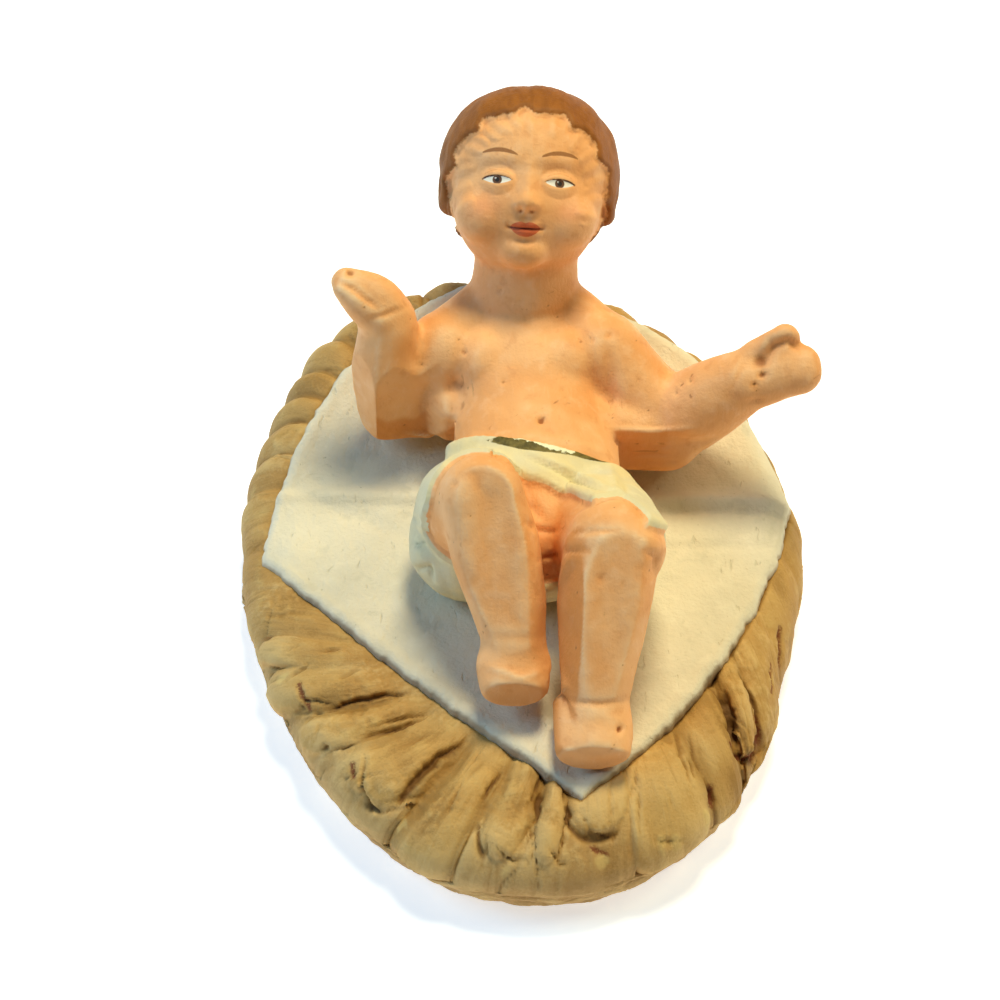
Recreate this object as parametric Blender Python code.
"""Crib figure of fired and painted clay: a baby resting in a straw bed with a sheet moulded over it.

Metres, +Z up. The bed stands on z = 0, its long axis runs along Y and the head end is at +Y. The figure is drawn
in its own units, 75 from crown to sole if it lay straight, from the point where it sits on the sheet.
"""

import math

import bmesh
import bpy
import numpy as np
from mathutils import Matrix, Vector

# Driving dimensions of the straw bed
BED_WIDTH = 0.0600
BED_FOOT_REACH = 0.0435  # from the widest line to the foot end
BED_HEAD_REACH = 0.0318  # from the widest line to the head end
BED_TOP = 0.0100  # height of the straw under the seat
HEAD_RISE = 0.0116  # how much higher the straw stands at the head end
FOLD_SOFTNESS = 0.07  # share of the rise over which the turn at its foot is rounded
WALL_BULGE_HEIGHT = 0.0048  # where the outer wall stands out most
WALL_UNDERCUT = 0.0022  # how far the wall draws in at the ground
EDGE_ROUNDING = 0.0062  # width over which the top rolls down to the wall
SHARP_EDGE_ANGLE = math.radians(20)  # where the sheet reaches the rim, and the roll is tighter
SHARP_EDGE_CUT = 0.45
# How far the hand-shaped outline stands out of a plain egg shape, round the bed from the right, anticlockwise
OUTLINE_SWELL = (
    1.008, 0.955, 0.955, 0.95, 0.98, 1.02, 1.068, 1.037, 1.0, 0.983, 0.98, 1.003, 1.022, 1.045, 1.05, 0.99
)

# Straw bundles laid over the rim, anticlockwise from the right: for each one the angle in degrees of the seam before
# it where it starts, that seam's depth in millimetres, and how far out the bundle ends, as a share of the way from the
# axis to the outline
BUNDLES = (
    (8, 0.4, 1.20), (22, 0.4, 1.20), (33, 0.5, 1.16), (41, 0.7, 1.20), (50.5, 0.8, 1.22), (60, 0.8, 1.18),
    (70, 0.8, 1.22), (80, 0.7, 1.20), (91, 0.7, 1.16), (102, 0.7, 1.22), (113, 0.8, 1.20), (124, 0.8, 1.18),
    (134, 0.9, 1.22), (142, 1.0, 1.20), (148, 1.0, 1.16), (154.4, 0.9, 1.18), (161, 0.7, 1.14), (169, 0.4, 1.20),
    (179, 0.3, 1.22), (191, 0.3, 1.20), (204, 0.4, 1.16), (217, 0.6, 1.12), (227, 0.7, 1.10), (236.8, 1.1, 1.06),
    (248, 1.0, 0.97), (259.4, 1.6, 1.10), (271, 1.1, 0.99), (281.7, 1.3, 1.00), (289, 0.9, 0.98), (300, 0.5, 1.10),
    (311, 0.9, 1.14), (328, 1.1, 1.04), (341.4, 0.6, 1.14), (354, 0.4, 1.20)
)
BUNDLE_HEIGHT = 0.0005  # how far the bundles stand over the straw below their ends
BUNDLE_START = 0.62  # share of the way out where bundles start
BUNDLE_RUN = 0.62  # share over which they slant
# Slant in degrees over that run, round the bed from the right, anticlockwise: the straw is swept to the left and back
BUNDLE_SLANT = (-30, -20, -8, 0, 0, 0, 2, 2, -6, -22, -36, -32, -22, -8, -6, -26)
COLUMN_PLACES = (0, 0.16, 0.5, 0.84)  # columns across a bundle
TOP_SHARES = (0.18, 0.36, 0.52, 0.64, 0.73, 0.80, 0.87, 0.93, 0.975, 1.0)  # rings over the top, to the outline
WALL_SHARES = (0.26, 0.52, 0.78, 1.0)  # rings down the wall, to the ground
WALL_RUN = 0.45  # the wall's height on the scale of the shares above

# Sheet over the straw
SHEET_THICKNESS = 0.0010
SHEET_BED_IN = 0.0018  # depth to which it is sunk in the straw
SHEET_HEM_INSET = 0.0016  # least distance from its corners to the bed's outline
SHEET_ROWS = 26
SHEET_COLUMNS = 22

# Figure
FIGURE_LENGTH = 0.0750  # crown to sole if it lay straight
REST_GAP = 0.0003  # between the figure and the sheet
SEAT_SETTLE = 0.0002  # how far the round of the seat flattens on the sheet
CLAY_VOXEL = 0.5  # in figure units
FIGURE_FACES = 4900

UNIT = FIGURE_LENGTH / 75

# The bed's middle is at the origin, which puts its widest line here
WIDEST_Y = (BED_FOOT_REACH - BED_HEAD_REACH) / 2
FOLD_Y = WIDEST_Y + 0.11 * BED_HEAD_REACH  # where the sheet turns up to the head end
SEAT_Y = WIDEST_Y - 0.15 * BED_FOOT_REACH


def material(name, colour, roughness):
    made = bpy.data.materials.new(name)
    made.use_nodes = True
    shader = made.node_tree.nodes["Principled BSDF"]
    shader.inputs["Base Color"].default_value = (*colour, 1)
    shader.inputs["Roughness"].default_value = roughness
    shader.inputs["Metallic"].default_value = 0
    return made


def clear_scene():
    for old in list(bpy.data.objects):
        bpy.data.objects.remove(old)


def smooth_step(low, high, value):
    share = np.clip((value - low) / (high - low), 0, 1)
    return share * share * (3 - 2 * share)


def soft_ramp(value, rounding):
    """0 below 0 and the value itself above it, with the corner rounded."""
    return (value + np.sqrt(value * value + rounding * rounding)) / 2


# Straw bed


def round_curve(values, angle):
    """A smooth curve through values that are spaced evenly round the bed, read in this direction."""
    count = len(values)
    place = (np.asarray(angle) / (2 * math.pi) * count) % count
    first = np.floor(place).astype(int)
    table = np.array(values, float)
    ends = [table[(first + step) % count] for step in (-1, 0, 1, 2)]
    return curve_point(*ends, place - first)


def swell(angle):
    """The outline's share of the plain egg shape in this direction."""
    return round_curve(OUTLINE_SWELL, angle)


def egg_angle(x, y):
    """Direction of a point of the plan, as the outline's angles count it."""
    reach = np.where(y < WIDEST_Y, BED_FOOT_REACH, BED_HEAD_REACH)
    return np.arctan2((y - WIDEST_Y) / reach, x / (BED_WIDTH / 2))


def plan_share(x, y):
    """How far out a point of the plan lies: 0 on the axis, 1 on the outline."""
    reach = np.where(y < WIDEST_Y, BED_FOOT_REACH, BED_HEAD_REACH)
    return np.hypot(x / (BED_WIDTH / 2), (y - WIDEST_Y) / reach) / swell(egg_angle(x, y))


def outline_point(angle, share):
    reach = np.where(np.sin(angle) < 0, BED_FOOT_REACH, BED_HEAD_REACH)
    out = share * swell(angle)
    return out * BED_WIDTH / 2 * np.cos(angle), WIDEST_Y + out * reach * np.sin(angle)


def straw_height(x, y):
    """Top of the straw without its bundles: level under the seat, rising to the head end, rolled down at the edge."""
    run = (y - FOLD_Y) / (WIDEST_Y + BED_HEAD_REACH - FOLD_Y)
    crown = BED_TOP + HEAD_RISE * soft_ramp(run, FOLD_SOFTNESS)
    from_sharp = (egg_angle(x, y) - SHARP_EDGE_ANGLE) / math.radians(28)
    rounding = EDGE_ROUNDING * (1 - SHARP_EDGE_CUT * np.exp(-from_sharp * from_sharp))
    inner = 1 - rounding / (BED_WIDTH / 2)
    over = np.clip((plan_share(x, y) - inner) / (1 - inner), 0, 1)
    return WALL_BULGE_HEIGHT + (crown - WALL_BULGE_HEIGHT) * np.sqrt(1 - over * over)


def sheet_folds(x, y):
    """Low folds of the sheet: a ridge across it in front of the seat's line and creases running to its corners."""
    half = BED_WIDTH / 2
    across = (y - FOLD_Y + 0.05 * half + 0.02 * x) / (0.045 * half)
    ridge = 0.50 * np.exp(-across * across)
    to_tip = (x - 0.21 * half - 0.10 * (y + BED_FOOT_REACH / 2)) / (0.075 * half)
    tip_crease = -0.55 * np.exp(-to_tip * to_tip) * smooth_step(0.35, 0.75, -(y - WIDEST_Y) / BED_FOOT_REACH)
    right_fold = (y - WIDEST_Y + 0.10 * half - 0.06 * x) / (0.06 * half)
    right = 0.20 * np.exp(-right_fold * right_fold) * smooth_step(0.3, 0.6, x / half)
    left_fold = (y - WIDEST_Y + 0.16 * half + 0.25 * x) / (0.08 * half)
    left = 0.16 * np.exp(-left_fold * left_fold) * smooth_step(0.2, 0.5, -x / half)
    return SHEET_THICKNESS * (ridge + tip_crease + right + left)


def sheet_height(x, y):
    return straw_height(x, y) + SHEET_THICKNESS + sheet_folds(x, y)


def bundle_columns():
    """Angle, seam depth and bundle end of each of the bed's columns, and its place across its bundle, 0 to 1."""
    phase = (np.arange(len(BUNDLES))[:, None] + np.array(COLUMN_PLACES)).ravel()
    seams = np.radians([seam for seam, _, _ in BUNDLES])
    places = np.arange(len(BUNDLES) + 1)
    turn = np.interp(phase, places, [*seams, seams[0] + 2 * math.pi])
    depth = np.interp(phase, places, [seam_depth for _, seam_depth, _ in BUNDLES + BUNDLES[:1]]) / 1000
    ends = np.array([end for _, _, end in BUNDLES])[phase.astype(int)]
    return turn, depth, ends, phase % 1


def build_straw():
    """The straw alone: rings from the middle of the top out to the rim, down the wall and under."""
    turn, depth, ends, place = bundle_columns()
    hollow = depth * (1 - np.abs(np.sin(math.pi * place)) ** 0.7)
    slant = np.radians(round_curve(BUNDLE_SLANT, turn))
    rings = []
    for share, below in [(top, 0) for top in TOP_SHARES] + [(1, wall) for wall in WALL_SHARES]:
        reached = share + WALL_RUN * below
        angle = turn + slant * np.clip((reached - BUNDLE_START) / BUNDLE_RUN, 0, 0.75)
        x, y = outline_point(angle, share)
        height = np.full_like(x, WALL_BULGE_HEIGHT * (1 - below)) if below else straw_height(x, y)
        risen = smooth_step(BUNDLE_START, BUNDLE_START + 0.15, reached) * (1 - smooth_step(ends - 0.05, ends, reached))
        push = np.zeros_like(x) if below == 1 else risen * (BUNDLE_HEIGHT - hollow)
        outward = push * smooth_step(0.75, 1.0, reached) - WALL_UNDERCUT * below**2
        lift = push * (1 - smooth_step(0.9, 1.15, reached))
        rings.append(np.stack([x + outward * np.cos(angle), y + outward * np.sin(angle), height + lift], axis=1))

    mesh = bmesh.new()
    loops = [[mesh.verts.new(point) for point in ring] for ring in rings]
    middle_height = float(straw_height(np.array(0.0), np.array(WIDEST_Y)))
    middle = mesh.verts.new((0, WIDEST_Y, middle_height))
    count = len(turn)
    for i in range(count):
        j = (i + 1) % count
        mesh.faces.new((middle, loops[0][i], loops[0][j]))
        for upper, lower in zip(loops, loops[1:]):
            mesh.faces.new((upper[i], lower[i], lower[j], upper[j]))
    mesh.faces.new(list(reversed(loops[-1])))
    bmesh.ops.recalc_face_normals(mesh, faces=mesh.faces)
    bmesh.ops.triangulate(mesh, faces=[face for face in mesh.faces if len(face.verts) == 4])
    return object_of("straw_bed", mesh)


def sheet_corners():
    """Plan of the sheet's four corners: left, foot tip, right and the one under the head."""
    hem = 1 - SHEET_HEM_INSET / (BED_WIDTH / 2)
    left = outline_point(math.radians(188), hem - 0.005)
    foot = (0.20 * BED_WIDTH / 2, WIDEST_Y - 0.845 * BED_FOOT_REACH)
    right = outline_point(math.radians(5), hem + 0.035)
    head = (0.0, WIDEST_Y + 0.90 * BED_HEAD_REACH)
    return [np.array(corner, float) for corner in (left, foot, right, head)]


def bowed(start, end, share, bow, skew=0.0):
    """Points of an edge that bows out to its right by a share of its length, the more to its end the larger skew is."""
    run = end - start
    side = np.array([run[1], -run[0]])
    share = np.asarray(share, float)[..., None]
    return start + run * share + side * bow * 4 * share * (1 - share) * (1 + skew * (2 * share - 1))


def sheet_plan(across, down):
    """Plan point of the sheet: across runs from its left corner to the foot tip, down from there to the right."""
    left, foot, right, head = sheet_corners()
    near = bowed(left, foot, across, 0.02)
    far = bowed(head, right, across, -0.12, 0.6)
    start = bowed(left, head, down, -0.17)
    end = bowed(foot, right, down, 0.09)
    s, t = across[..., None], down[..., None]
    flat = left * (1 - s) * (1 - t) + foot * s * (1 - t) + head * (1 - s) * t + right * s * t
    return near * (1 - t) + far * t + start * (1 - s) + end * s - flat


def build_sheet():
    """The sheet as a closed solid that sinks into the straw, with a thin wavy hem."""
    share_a, share_b = np.meshgrid(
        np.linspace(0, 1, SHEET_COLUMNS + 1), np.linspace(0, 1, SHEET_ROWS + 1), indexing="ij"
    )
    plan = sheet_plan(share_a, share_b)
    x, y = plan[..., 0], plan[..., 1]
    top = np.stack([x, y, sheet_height(x, y)], axis=-1)
    bottom = np.stack([x, y, straw_height(x, y) - SHEET_BED_IN], axis=-1)
    mesh = bmesh.new()
    layers = []
    for layer in (top, bottom):
        layers.append([[mesh.verts.new(point) for point in row] for row in layer])
    for upper, flip in zip(layers, (False, True)):
        for i in range(SHEET_COLUMNS):
            for j in range(SHEET_ROWS):
                face = [upper[i][j], upper[i + 1][j], upper[i + 1][j + 1], upper[i][j + 1]]
                mesh.faces.new(face[::-1] if flip else face)
    rim = [(i, 0) for i in range(SHEET_COLUMNS)]
    rim += [(SHEET_COLUMNS, j) for j in range(SHEET_ROWS)]
    rim += [(i, SHEET_ROWS) for i in range(SHEET_COLUMNS, 0, -1)]
    rim += [(0, j) for j in range(SHEET_ROWS, 0, -1)]
    for (i, j), (k, m) in zip(rim, rim[1:] + rim[:1]):
        mesh.faces.new((layers[0][i][j], layers[1][i][j], layers[1][k][m], layers[0][k][m]))
    bmesh.ops.recalc_face_normals(mesh, faces=mesh.faces)
    bmesh.ops.triangulate(mesh, faces=mesh.faces)
    return object_of("sheet_form", mesh)


def build_bed():
    """Straw and sheet as one casting."""
    straw = build_straw()
    sheet = build_sheet()
    sheet.hide_render = True
    sheet.display_type = "WIRE"
    join = straw.modifiers.new("Sheet moulded on", "BOOLEAN")
    join.operation = "UNION"
    join.solver = "EXACT"
    join.object = sheet
    straw.data.materials.append(material("straw_paint", (0.54, 0.36, 0.15), 0.8))
    return straw


# Figure


def object_of(name, mesh):
    data = bpy.data.meshes.new(name)
    mesh.to_mesh(data)
    mesh.free()
    made = bpy.data.objects.new(name, data)
    bpy.context.scene.collection.objects.link(made)
    return made


def add_ball(mesh, centre, radii, axes=None):
    """An ellipsoid. axes are its own right, forward and up directions."""
    turn = Matrix.Identity(3) if axes is None else Matrix(axes).transposed()
    place = Matrix.Translation(centre) @ turn.to_4x4() @ Matrix.Diagonal((*radii, 1))
    bmesh.ops.create_uvsphere(mesh, u_segments=24, v_segments=14, radius=1, matrix=place)


def add_limb(mesh, stations, across=(1, 0, 0), sides=20, steps=5):
    """A rounded limb through stations of (centre, half width, half depth). across is the direction of its width."""
    centres = [Vector(place) for place, _, _ in stations]
    sizes = [(wide, deep) for _, wide, deep in stations]
    path, widths = [], []
    last = len(stations) - 1
    for k in range(last):
        before, after = max(k - 1, 0), min(k + 2, last)
        for i in range(steps):
            share = i / steps
            path.append(curve_point(centres[before], centres[k], centres[k + 1], centres[after], share))
            ends = [Vector(sizes[n]) for n in (before, k, k + 1, after)]
            widths.append(curve_point(*ends, share))
    path.append(centres[last])
    widths.append(Vector(sizes[last]))

    rings = []
    for i, centre in enumerate(path):
        run = (path[min(i + 1, len(path) - 1)] - path[max(i - 1, 0)]).normalized()
        side = (Vector(across) - run * run.dot(Vector(across))).normalized()
        rings.append((centre, run, side, widths[i]))
    rings = end_cap(rings[0], -1)[::-1] + rings + end_cap(rings[-1], 1)

    loops = []
    for centre, run, side, (wide, deep) in rings:
        front = run.cross(side)
        loop = []
        for n in range(sides):
            turn = 2 * math.pi * n / sides
            loop.append(mesh.verts.new(centre + side * wide * math.cos(turn) + front * deep * math.sin(turn)))
        loops.append(loop)
    for one, two in zip(loops, loops[1:]):
        for n in range(sides):
            mesh.faces.new((one[n], one[(n + 1) % sides], two[(n + 1) % sides], two[n]))
    mesh.faces.new(loops[0][::-1])
    mesh.faces.new(loops[-1])


def end_cap(ring, way):
    """Shrinking rings that round off a limb's end."""
    centre, run, side, size = ring
    reach = (size[0] + size[1]) / 2
    made = []
    for turn in (22, 44, 64, 80):
        angle = math.radians(turn)
        made.append((centre + run * way * reach * math.sin(angle), run, side, size * math.cos(angle)))
    return made


def curve_point(before, start, end, after, share):
    """Point on the smooth curve from start to end, share of the way along."""
    s2, s3 = share * share, share * share * share
    return 0.5 * (
        2 * start + (end - before) * share
        + (2 * before - 5 * start + 4 * end - after) * s2
        + (3 * start - before - 3 * end + after) * s3
    )


# Head: its middle and its own right, forward and up directions
HEAD_CENTRE = Vector((0.8, 31.3, 24.8))
HEAD_PITCH = math.radians(42)
HEAD_LEAN = math.radians(4)
UP = Vector((0, math.cos(HEAD_PITCH), math.sin(HEAD_PITCH)))
FORWARD = Vector((0, -math.sin(HEAD_PITCH), math.cos(HEAD_PITCH)))
HEAD_UP = (UP * math.cos(HEAD_LEAN) + Vector((1, 0, 0)) * math.sin(HEAD_LEAN)).normalized()
HEAD_RIGHT = (Vector((1, 0, 0)) * math.cos(HEAD_LEAN) - UP * math.sin(HEAD_LEAN)).normalized()
HEAD_AXES = (HEAD_RIGHT, FORWARD, HEAD_UP)


def on_head(right, forward, up):
    return HEAD_CENTRE + HEAD_RIGHT * right + FORWARD * forward + HEAD_UP * up


def add_head(mesh):
    """A plain rounded infant's head: skull, face, cheeks, chin, nose, lips and ears."""
    add_ball(mesh, on_head(0, -1.4, 2.0), (9.1, 9.4, 8.2), HEAD_AXES)
    add_ball(mesh, on_head(0, 1.4, -2.0), (7.9, 7.0, 7.9), HEAD_AXES)
    add_ball(mesh, on_head(0, 5.6, -7.3), (2.6, 2.0, 2.0), HEAD_AXES)
    add_ball(mesh, on_head(0, 8.3, -2.5), (1.15, 1.35, 1.15), HEAD_AXES)
    bridge = [(on_head(0, 7.6, 1.4), 0.7, 0.8), (on_head(0, 8.0, -0.8), 0.7, 0.8), (on_head(0, 8.5, -2.4), 0.9, 0.9)]
    add_limb(mesh, bridge, across=HEAD_RIGHT)
    add_ball(mesh, on_head(0, 7.9, -4.9), (1.7, 0.8, 0.55), HEAD_AXES)
    add_ball(mesh, on_head(0, 7.7, -5.8), (1.4, 0.8, 0.55), HEAD_AXES)
    for way in (-1, 1):
        add_ball(mesh, on_head(way * 4.1, 4.6, -3.9), (3.3, 3.0, 3.2), HEAD_AXES)
        add_ball(mesh, on_head(way * 8.3, -0.6, -1.0), (0.9, 1.5, 2.3), HEAD_AXES)
    add_limb(mesh, [((0.3, 23.5, 14.2), 6.2, 5.2), ((0.5, 25.6, 17.8), 5.6, 5.2), ((0.6, 28.0, 21.5), 5.6, 5.4)])


def add_trunk(mesh):
    spine = [
        ((1.2, -1.0, 7.2), 9.6, 6.6),
        ((1.4, 5.5, 7.9), 9.0, 6.7),
        ((0.9, 12.5, 8.7), 7.8, 6.4),
        ((0.3, 18.8, 10.6), 7.8, 6.3),
        ((0.2, 22.6, 12.2), 7.0, 5.6),
    ]
    add_limb(mesh, spine)
    add_ball(mesh, (1.7, 7.5, 9.3), (7.2, 6.6, 5.2))
    for way in (-1, 1):
        add_ball(mesh, (0.3 + way * 3.8, 17.4, 12.8), (4.2, 4.4, 3.6))
        add_limb(mesh, [((0.3 + way * 3.6, 24.0, 14.0), 3.4, 3.2), ((0.3 + way * 8.0, 19.4, 12.4), 4.1, 4.1)])


def add_legs(mesh):
    """Drawn-up legs: hips and seat, thighs, shins and blunt feet clear of the sheet."""
    add_ball(mesh, (-5.0, -2.0, 5.6), (6.1, 6.0, 5.6))
    add_ball(mesh, (6.9, -1.6, 5.6), (5.7, 5.6, 5.6))
    left = [
        ((-4.9, 0.0, 7.4), 5.6, 5.8),
        ((-4.6, -3.2, 12.0), 5.2, 5.3),
        ((-3.9, -5.6, 16.6), 4.3, 4.3),
    ]
    left_shin = [
        ((-3.9, -5.6, 16.4), 4.2, 4.2),
        ((-2.6, -9.2, 12.6), 4.6, 4.4),
        ((-1.4, -12.8, 9.0), 3.9, 3.7),
        ((-0.6, -15.8, 6.0), 3.2, 3.2),
    ]
    left_foot = [((-0.6, -15.6, 5.6), 3.2, 2.7), ((-0.8, -17.6, 5.0), 3.8, 2.6), ((-0.7, -19.9, 4.4), 3.7, 2.3)]
    right = [
        ((7.2, -0.6, 7.0), 5.5, 5.8),
        ((8.5, -5.6, 10.2), 5.5, 5.5),
        ((9.5, -9.9, 13.6), 5.1, 4.6),
    ]
    right_shin = [
        ((9.2, -9.8, 14.0), 4.8, 4.5),
        ((8.3, -14.2, 10.4), 4.8, 4.5),
        ((7.8, -18.0, 6.8), 4.1, 3.8),
        ((7.5, -21.0, 4.2), 3.5, 3.2),
    ]
    right_foot = [((7.4, -21.2, 3.7), 3.5, 2.7), ((7.2, -23.8, 2.9), 4.1, 2.5), ((7.2, -26.4, 2.4), 4.0, 2.2)]
    for stations in (left, left_shin, left_foot, right, right_shin, right_foot):
        add_limb(mesh, stations)


def add_arms(mesh):
    """Open arms with mitten hands: fingers in one block and a thumb beside them."""
    left = [
        ((-8.0, 19.0, 12.3), 4.4, 4.4),
        ((-11.4, 17.2, 9.6), 4.0, 4.0),
        ((-14.2, 15.2, 8.0), 3.7, 3.8),
    ]
    left_fore = [
        ((-14.3, 15.0, 7.6), 3.7, 3.7),
        ((-14.3, 16.6, 12.2), 3.8, 3.7),
        ((-14.0, 18.2, 16.6), 3.2, 3.2),
    ]
    left_hand = [
        ((-14.0, 18.6, 17.4), 3.1, 2.8),
        ((-15.7, 19.2, 20.1), 2.9, 2.4),
        ((-18.2, 19.4, 22.2), 1.7, 1.5),
    ]
    left_thumb = [((-14.7, 17.7, 18.4), 2.4, 2.2), ((-17.0, 17.9, 20.8), 1.8, 1.8), ((-18.5, 18.3, 22.3), 1.2, 1.2)]
    right = [
        ((8.6, 18.8, 12.3), 4.5, 4.5),
        ((12.4, 16.0, 9.4), 4.3, 4.3),
        ((16.0, 13.4, 7.0), 4.3, 4.3),
    ]
    right_fore = [
        ((16.0, 13.3, 6.8), 4.3, 4.3),
        ((19.8, 13.2, 10.6), 4.2, 4.2),
        ((23.4, 13.1, 13.8), 3.4, 3.4),
    ]
    right_hand = [
        ((23.4, 13.1, 13.8), 3.3, 3.2),
        ((26.4, 13.0, 15.4), 3.4, 2.4),
        ((29.4, 12.4, 16.2), 2.7, 1.7),
    ]
    right_thumb = [((24.4, 14.2, 16.2), 1.8, 1.7), ((27.6, 14.8, 18.6), 1.5, 1.4)]
    # The clay between each upper arm and the ribs, left in the mould's parting
    left_web = [((-4.0, 14.0, 8.0), 3.6, 3.8), ((-8.6, 14.8, 7.6), 3.0, 3.6), ((-13.6, 14.9, 7.3), 3.2, 3.5)]
    right_web = [((5.0, 11.8, 7.8), 4.0, 4.4), ((10.0, 12.2, 6.8), 3.8, 4.3), ((15.6, 12.6, 6.3), 4.0, 4.3)]
    for stations in (left, left_fore, right, right_fore):
        add_limb(mesh, stations)
    for stations in (left_web, right_web):
        add_limb(mesh, stations, across=(0, 1, 0))
    add_limb(mesh, left_hand, across=(0.6, 0, 0.8))
    add_limb(mesh, left_thumb)
    add_limb(mesh, right_hand, across=(0, 0.766, 0.643))
    add_limb(mesh, right_thumb)


def evaluated_mesh(made):
    """The object's mesh with its modifiers applied."""
    graph = bpy.context.evaluated_depsgraph_get()
    data = bpy.data.meshes.new_from_object(made.evaluated_get(graph))
    made.modifiers.clear()
    made.data = data


# Dress and hair, as depths of clay added to the body at a point

LOOK = Vector((0, -math.cos(math.radians(50)), math.sin(math.radians(50))))  # out of the lap
LAP_UP = Vector((0, math.sin(math.radians(50)), math.cos(math.radians(50))))
WAIST_POINT = Vector((1.9, 4.6, 11.7))
WAIST_NORMAL = Vector((0.22, 0.89, 0.40)).normalized()
CLOTH_DEPTH = 0.7
BELT_DEPTH = 0.3
BELT_WIDTH = 1.2
HAIR_DEPTH = 0.55
# Hem over the lap, as seen out of the lap: its highest point, its fall to the left hip and its slope to the right
HEM_PEAK = (-4.2, 10.4)
HEM_LEFT_REACH = 5.2
HEM_LEFT_FALL = 6.7
HEM_RIGHT_SLOPE = 0.46


def along(points, direction, origin=(0, 0, 0)):
    return (points - np.array(origin)) @ np.array(direction)


def cloth_edge(points):
    """Distance inside the loincloth: positive on cloth, negative on skin."""
    from_peak = points[:, 0] - HEM_PEAK[0]
    lap = along(points, LAP_UP)
    depth = along(points, LOOK)
    drop = np.clip(-from_peak / HEM_LEFT_REACH, 0, 1)
    hem = HEM_PEAK[1] - HEM_LEFT_FALL * (1 - np.sqrt(1 - drop * drop))
    hem = hem - HEM_RIGHT_SLOPE * np.clip(from_peak - 2, 0, 30)
    above_hem = np.where(from_peak < -HEM_LEFT_REACH, 3.0, lap - hem)
    behind = 11.4 - depth
    return np.minimum(np.maximum(above_hem, behind), -above_waist(points))


def above_waist(points):
    return along(points, WAIST_NORMAL, WAIST_POINT)


def head_frame(points):
    """Right, forward and up of each point in the head's own frame."""
    return tuple(along(points, axis, HEAD_CENTRE) for axis in HEAD_AXES)


def hair_edge(points):
    """Distance inside the hair: positive on hair, negative on skin. The front edge waves in small locks."""
    right, forward, up = head_frame(points)
    turn = np.arctan2(right, up + 0.6)
    ring = np.hypot(right / 8.1, (up + 0.6) / 7.5)
    locks = 0.28 * np.sin(13 * turn) + 0.16 * np.sin(23 * turn + 1.0)
    front = (ring - 1) * 7.8 + locks
    behind = -1.0 - forward
    nape = up + 5.4 - 0.25 * forward
    return np.minimum(np.maximum(front, behind), nape)


def curl_height(points):
    """Short curls modelled along the front of the hairline."""
    right, forward, up = head_frame(points)
    total = np.zeros(len(points))
    for turn_deg in range(-107, 114, 17):
        turn = math.radians(turn_deg)
        near = np.hypot(right - 7.2 * math.sin(turn), up + 0.6 - 6.7 * math.cos(turn))
        total = np.maximum(total, np.exp(-near * near))
    return np.where(forward > 0, total, 0)


# Flat places cut in the clay: a point of the plane, its outward direction and the box that the cut keeps to
FLATS = (
    ((-9.7, 12.0, 9.3), (0, -0.97, -0.1), (-13.8, 8, 1), (-5.0, 15, 10)),
    ((13.0, 9.7, 9.0), (0, -0.9, 0.15), (9.0, 4, 0), (22.0, 13, 10)),
    ((-0.7, -21.7, 5.0), (0, -0.98, 0.2), (-6.0, -26, 0), (5.0, -18, 10)),
    ((7.1, -28.0, 2.5), (0, -0.98, 0.2), (1.0, -32, -2), (14.0, -24, 8)),
    ((5.9, -19.2, 10.3), (-0.87, -0.33, 0.36), (2.0, -25, 5), (9.0, -12, 18)),
    ((-0.7, -10.4, 14.0), (0.87, -0.33, 0.36), (-4.0, -16, 7), (4.0, -3, 22)),
    ((7.6, -17.5, 12.0), (0.1, -0.72, 0.69), (3.0, -24, 6), (14.0, -12, 19)),
    ((-2.9, -11.4, 14.2), (-0.1, -0.72, 0.69), (-8.0, -18, 7), (3.0, -6, 21)),
)


def flatten(points):
    """Cuts the clay off at each flat, softly at the ends of its box."""
    for place, outward, low, high in FLATS:
        normal = np.array(outward) / np.linalg.norm(outward)
        beyond = np.clip((points - np.array(place)) @ normal, 0, None)
        room = np.minimum(points - np.array(low), np.array(high) - points).min(axis=1)
        points = points - (beyond * smooth_step(0, 1.6, room))[:, None] * normal
    return points


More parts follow.
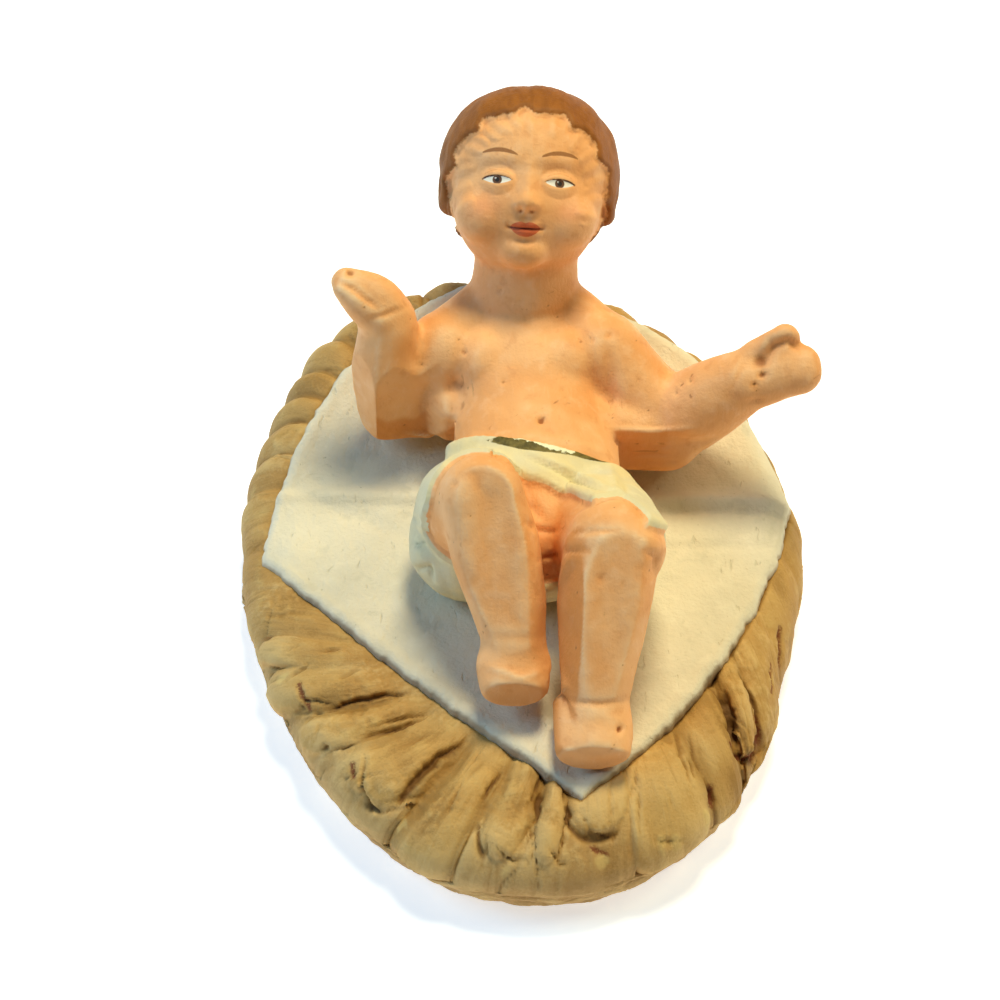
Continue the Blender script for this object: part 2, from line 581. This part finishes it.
def carve(points, normals):
    """Moves the body's points out or in along their normals for dress, hair and the larger marks of modelling."""
    on_trunk = (points[:, 2] < 17.5) & (points[:, 1] < 12) & (np.abs(points[:, 0] - 1) < 15)
    cloth = CLOTH_DEPTH * smooth_step(-0.25, 0.25, cloth_edge(points))
    waist = above_waist(points)
    belt = BELT_DEPTH * smooth_step(-0.2, 0.2, waist) * (1 - smooth_step(-0.2, 0.2, waist - BELT_WIDTH))
    dress = np.where(on_trunk, np.maximum(cloth, belt), 0)
    on_head_part = along(points, HEAD_UP, HEAD_CENTRE) > -9
    hair = np.where(on_head_part, HAIR_DEPTH * smooth_step(-0.25, 0.25, hair_edge(points)), 0)
    curls = np.where(on_head_part, 0.45 * curl_height(points), 0)
    return points + normals * (dress + np.maximum(hair, curls))[:, None]


def build_baby():
    clay = bmesh.new()
    add_trunk(clay)
    add_legs(clay)
    add_arms(clay)
    add_head(clay)
    baby = object_of("baby", clay)
    remesh = baby.modifiers.new("One body", "REMESH")
    remesh.mode = "VOXEL"
    remesh.voxel_size = CLAY_VOXEL
    soften = baby.modifiers.new("Soften", "SMOOTH")
    soften.factor = 0.5
    soften.iterations = 6
    evaluated_mesh(baby)

    data = baby.data
    points = np.empty(len(data.vertices) * 3)
    data.vertices.foreach_get("co", points)
    normals = np.empty(len(data.vertices) * 3)
    data.vertex_normals.foreach_get("vector", normals)
    carved = carve(flatten(points.reshape(-1, 3)), normals.reshape(-1, 3))
    data.vertices.foreach_set("co", carved.ravel())
    thin_out = baby.modifiers.new("Facets", "DECIMATE")
    data.calc_loop_triangles()
    thin_out.ratio = FIGURE_FACES / len(data.loop_triangles)
    evaluated_mesh(baby)
    settle_on_sheet(baby.data)
    baby.data.materials.clear()
    baby.data.materials.append(material("skin_paint", (0.80, 0.47, 0.22), 0.75))
    return baby


def settle_on_sheet(data):
    """Brings the figure to its place and size, and flattens what would reach below the sheet."""
    seat_height = float(sheet_height(np.array(0.0), np.array(SEAT_Y))) + REST_GAP - SEAT_SETTLE
    points = np.empty(len(data.vertices) * 3)
    data.vertices.foreach_get("co", points)
    points = points.reshape(-1, 3) * UNIT + np.array([0, SEAT_Y, seat_height])
    floor = sheet_height(points[:, 0], points[:, 1]) + REST_GAP
    inside = plan_share(points[:, 0], points[:, 1]) < 1
    points[:, 2] = np.where(inside, np.maximum(points[:, 2], floor), points[:, 2])
    data.vertices.foreach_set("co", points.ravel())


def main():
    clear_scene()
    for made in (build_bed(), build_baby()):
        made.data.shade_smooth()
        made.data.set_sharp_from_angle(angle=math.radians(35))


main()
